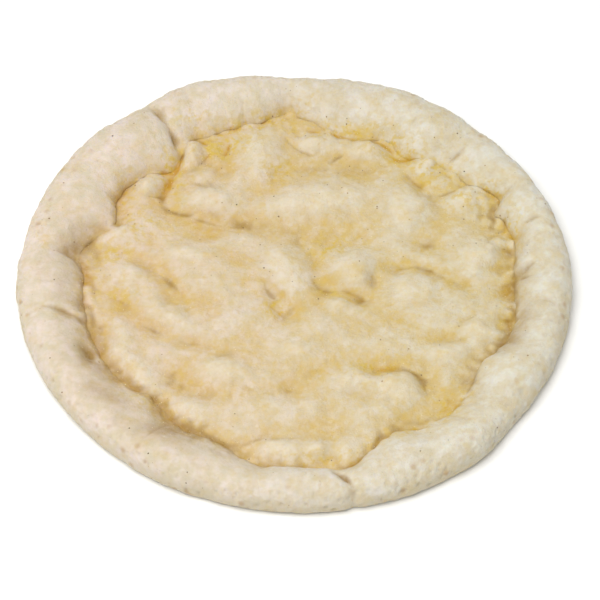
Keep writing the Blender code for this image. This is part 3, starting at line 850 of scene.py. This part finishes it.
def scatter_mesh(name, spots, normals, sizes, flatness, lift, draw):
    """Many small bodies joined in one mesh, each turned at random and sunk a little."""
    ball, faces = grain_shape()
    count = len(spots)
    squash = 1.0 + 0.35 * (draw.random((count, 1, 3)) - 0.5)
    bumpy = 1.0 + 0.3 * (draw.random((count, len(ball), 1)) - 0.5)
    local = ball[None] * squash * bumpy * sizes[:, None, None] * 0.5
    spin = draw.random(count) * 2.0 * math.pi
    side = np.cross(normals, np.array([0.3, 0.9, 0.2]))
    side /= np.linalg.norm(side, axis=1, keepdims=True)
    other = np.cross(normals, side)
    first = side * np.cos(spin)[:, None] + other * np.sin(spin)[:, None]
    second = np.cross(normals, first)
    flat = local[..., 2:3] * flatness
    world = (
        spots[:, None] + local[..., 0:1] * first[:, None] + local[..., 1:2] * second[:, None]
        + (flat + sizes[:, None, None] * lift) * normals[:, None]
    )
    offsets = (np.arange(count) * len(ball))[:, None, None]
    mesh = bpy.data.meshes.new(name)
    mesh.from_pydata(world.reshape(-1, 3).tolist(), [], (faces[None] + offsets).reshape(-1, 3).tolist())
    mesh.update()
    return bpy.data.objects.new(name, mesh)


def scatter(name, settings, density, seed, flatness, lift):
    """Loose pieces scattered over the dough, most of them near the smallest size. Each is flattened
    to that share, and its middle is lifted off the skin by that share of its size."""
    draw = np.random.default_rng(seed)
    spots, normals = surface_spots(bpy.data.objects["dough"], density, settings.count, draw)
    sizes = settings.smallest + (settings.largest - settings.smallest) * draw.random(len(spots)) ** 2
    return scatter_mesh(name, spots, normals, sizes, flatness, lift, draw)


def semolina_density(centres):
    """Loose grains lie in patches on the floor, most of all where it was dusted."""
    x, y = centres[:, 0], centres[:, 1]
    inside = np.hypot(x, y) < FOOT_RADIUS + 3.0 * MM
    patches = field(centres, Layer(18.0, 1.0, (2.5, 7.1, 0.3)))
    return 0.08 + inside * (0.35 + unit(patches)) + 2.0 * dusting_amounts(x, y)


def bran_density(centres):
    """Bran is all over the dough, in loose drifts."""
    return np.clip(0.5 + field(centres, Layer(40.0, 1.0, (5.2, 1.1, 3.3))), 0.1, 1.0)


# -------------------- settings


def colour(name, description, code):
    """A colour setting, from its sRGB hex code."""
    return FloatVectorProperty(
        name=name, description=description, default=linear(code)[:3], size=3, subtype="COLOR",
        min=0.0, max=1.0)


def metres(name, description, default, smallest, largest):
    """A length setting in metres."""
    return FloatProperty(
        name=name, description=description, default=default, min=smallest, max=largest, unit="LENGTH")


class DoughSettings(bpy.types.PropertyGroup):
    radius: metres("Outer radius", "Mean radius of the outer edge", 148.8 * MM, 0.05, 0.3)
    crest_height: metres("Rim height", "Top of the rim above the table", 15.2 * MM, 0.008, 0.04)
    floor_height: metres("Floor thickness", "Mean thickness of the pressed floor", 5.6 * MM, 0.003, 0.02)
    left_colour: colour("Skin, left", "Pinkish ivory of the dough on the side towards -X", "#DDCFC5")
    right_colour: colour("Skin, right", "Ivory of the dough on the side towards +X", "#D7D5CA")
    # Beige blotches, and painted shade on the rim's outer underside
    beige_and_edge_shade_colour: colour("Blotches", "Beige of the blotches under the skin", "#CBC0A6")
    # Painted highlight on the tops of the floor's pillows
    pale_colour: colour("Pillow tops", "Pale dough on top of the floor's pillows", "#E1DCCE")
    # Semolina flour and painted shade both: these colours darken the floor's hollows
    flour_and_shade_colour: colour("Flour, left", "Dough with semolina flour rubbed into it, towards -X", "#C9A973")
    lemon_flour_and_shade_colour: colour("Flour, right", "Dough with semolina flour rubbed into it, towards +X", "#C8AE6B")
    dusting_colour: colour("Dusting colour", "Dough with semolina worked into it", "#CDB04C")
    # Painted shade: the three fold colours are painted into creases and the fold in place of their shade,
    # golden where semolina was dusted
    plain_fold_shade_colour: colour("Fold colour", "Deepest part of the folds", "#98773A")
    golden_fold_shade_colour: colour(
        "Dusted folds, left", "Deepest part of the folds that were dusted, towards -X", "#BA8820")
    amber_fold_shade_colour: colour(
        "Dusted folds, right", "Deepest part of the folds that were dusted, towards +X", "#BD9525")
    stain_colour: colour("Stains", "Tan stains round bran in the skin of the rim", "#B89B74")


class SemolinaSettings(bpy.types.PropertyGroup):
    count: IntProperty(name="Grains", description="Number of loose grains", default=2200, min=0, max=9000)
    smallest: metres("Smallest grain", "Size of the finest grit", 0.22 * MM, 0.0001, 0.002)
    largest: metres("Largest grain", "Size of the coarsest grit", 0.56 * MM, 0.0001, 0.003)
    colour: colour("Deep yellow", "Darker grains", "#DCC88E")
    pale_colour: colour("Pale yellow", "Lighter grains", "#E5D8AE")


class BranSettings(bpy.types.PropertyGroup):
    count: IntProperty(name="Flakes", description="Number of bran flakes", default=360, min=0, max=4000)
    smallest: metres("Smallest flake", "Width of the finest flake", 0.25 * MM, 0.0001, 0.003)
    largest: metres("Largest flake", "Width of the coarsest flake", 1.0 * MM, 0.0001, 0.004)
    colour: colour("Dark husk", "Darker flakes", "#4E3C2A")
    pale_colour: colour("Light husk", "Lighter flakes", "#A8865A")


class StudioSettings(bpy.types.PropertyGroup):
    elevation: FloatProperty(
        name="Camera elevation", description="Angle of the view above the horizon",
        default=math.radians(52.0), min=0.0, max=math.pi / 2, subtype="ANGLE")
    distance: metres("Camera distance", "From the camera to the point that it looks at", 1.5, 0.3, 10.0)
    lens: FloatProperty(
        name="Lens", description="Focal length", default=166.58, min=20.0, max=500.0, unit="CAMERA")
    aim: FloatVectorProperty(
        name="Aim", description="Point that the camera looks at",
        default=(3.0 * MM, -7.6 * MM, 0.0), size=3, subtype="TRANSLATION", unit="LENGTH")
    key_power: FloatProperty(
        name="Key light", description="Power of the soft light overhead and to the left",
        default=19.9, min=0.0, unit="POWER")
    sky_strength: FloatProperty(
        name="Fill", description="Strength of the even light from all round", default=0.475, min=0.0)
    floor_colour: colour("Floor colour", "Paper under the dough", "#F6F6F4")


class PizzaBaseSettings(bpy.types.PropertyGroup):
    dough: PointerProperty(type=DoughSettings)
    semolina: PointerProperty(type=SemolinaSettings)
    bran: PointerProperty(type=BranSettings)
    studio: PointerProperty(type=StudioSettings)


# -------------------- operators

SEMOLINA_SEED = 7
BRAN_SEED = 23
PAPER_REACH = 4.0            # from the middle of the paper to its sides, in metres
PAPER_DROP = 0.05 * MM       # it lies this far below the dough's foot
KEY_WIDTH = 1.3              # diameter and place of the soft light, in metres
KEY_PLACE = (-0.32, -0.29, 1.37)


def show(piece, material):
    """Puts a finished piece in the scene, riding on the part's one body."""
    piece.data.materials.append(material)
    bpy.context.scene.collection.objects.link(piece)
    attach(piece, BODY)
    return piece


class PIZZABASE_OT_press_dough(bpy.types.Operator):
    """Press the dough into a base with a rolled rim"""
    bl_idname = "pizza_base.press_dough"
    bl_label = "Press Dough"

    def execute(self, context):
        settings = context.scene.pizza_base.dough
        dough = show(make_dough(settings), raw_dough(settings))
        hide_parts(NODE)
        return {"FINISHED"}


class PIZZABASE_OT_dust_semolina(bpy.types.Operator):
    """Dust the dough with grains of semolina"""
    bl_idname = "pizza_base.dust_semolina"
    bl_label = "Dust with Semolina"

    def execute(self, context):
        settings = context.scene.pizza_base.semolina
        grains = scatter("semolina_grains", settings, semolina_density, SEMOLINA_SEED, 0.8, 0.1)
        show(grains, semolina(settings))
        return {"FINISHED"}


class PIZZABASE_OT_scatter_bran(bpy.types.Operator):
    """Scatter flakes of bran over the dough"""
    bl_idname = "pizza_base.scatter_bran"
    bl_label = "Scatter Bran"

    def execute(self, context):
        settings = context.scene.pizza_base.bran
        flakes = scatter("bran_flakes", settings, bran_density, BRAN_SEED, 0.25, 0.03)
        show(flakes, bran(settings))
        return {"FINISHED"}


class PIZZABASE_OT_set_studio(bpy.types.Operator):
    """Set the floor, the lights and the camera"""
    bl_idname = "pizza_base.set_studio"
    bl_label = "Set Studio"

    def execute(self, context):
        settings = context.scene.pizza_base.studio
        scene = context.scene
        scene.view_settings.view_transform = "Standard"
        self.lay_floor(settings)
        self.light(scene, settings)
        self.aim_camera(scene, settings)
        return {"FINISHED"}

    @staticmethod
    def lay_floor(settings):
        sheet = bmesh.new()
        bmesh.ops.create_grid(sheet, x_segments=1, y_segments=1, size=PAPER_REACH)
        mesh = bpy.data.meshes.new("floor")
        sheet.to_mesh(mesh)
        sheet.free()
        floor = bpy.data.objects.new("floor", mesh)
        floor.location.z = -PAPER_DROP
        mesh.materials.append(white_floor(settings))
        bpy.context.scene.collection.objects.link(floor)

    @staticmethod
    def light(scene, settings):
        world = bpy.data.worlds.new("studio")
        world.use_nodes = True
        world.node_tree.nodes["Background"].inputs["Strength"].default_value = settings.sky_strength
        world.node_tree.nodes["Background"].inputs["Color"].default_value = (1.0, 1.0, 1.0, 1.0)
        scene.world = world
        lamp = bpy.data.lights.new("key", "AREA")
        lamp.shape = "DISK"
        lamp.size = KEY_WIDTH
        lamp.energy = settings.key_power
        key = bpy.data.objects.new("key", lamp)
        key.location = Vector(KEY_PLACE)
        key.rotation_euler = key.location.to_track_quat("Z", "Y").to_euler()
        scene.collection.objects.link(key)

    @staticmethod
    def aim_camera(scene, settings):
        back = Vector((0.0, -math.cos(settings.elevation), math.sin(settings.elevation)))
        lens = bpy.data.cameras.new("camera")
        lens.lens = settings.lens
        lens.sensor_width = 36.0
        camera = bpy.data.objects.new("camera", lens)
        camera.location = Vector(settings.aim) + back * settings.distance
        camera.rotation_euler = back.to_track_quat("Z", "Y").to_euler()
        scene.collection.objects.link(camera)
        scene.camera = camera


class PIZZABASE_PT_panel(bpy.types.Panel):
    """Makes the pizza base piece by piece"""
    bl_label = "Pizza Base"
    bl_idname = "PIZZABASE_PT_panel"
    bl_space_type = "VIEW_3D"
    bl_region_type = "UI"
    bl_category = "Pizza Base"

    def draw(self, context):
        settings = context.scene.pizza_base
        for group, step in zip((settings.dough, settings.semolina, settings.bran, settings.studio), STEPS):
            box = self.layout.box()
            for name in group.__annotations__:
                box.prop(group, name)
            box.operator(step.bl_idname)


STEPS = (
    PIZZABASE_OT_press_dough,
    PIZZABASE_OT_dust_semolina,
    PIZZABASE_OT_scatter_bran,
    PIZZABASE_OT_set_studio,
)
CLASSES = (
    DoughSettings,
    SemolinaSettings,
    BranSettings,
    StudioSettings,
    PizzaBaseSettings,
    *STEPS,
    PIZZABASE_PT_panel,
)


def register():
    for cls in CLASSES:
        bpy.utils.register_class(cls)
    bpy.types.Scene.pizza_base = PointerProperty(type=PizzaBaseSettings)


def unregister():
    del bpy.types.Scene.pizza_base
    for cls in reversed(CLASSES):
        bpy.utils.unregister_class(cls)


def main():
    register()
    bpy.ops.pizza_base.press_dough()
    bpy.ops.pizza_base.dust_semolina()
    bpy.ops.pizza_base.scatter_bran()
    bpy.ops.pizza_base.set_studio()


if __name__ == "__main__":
    main()
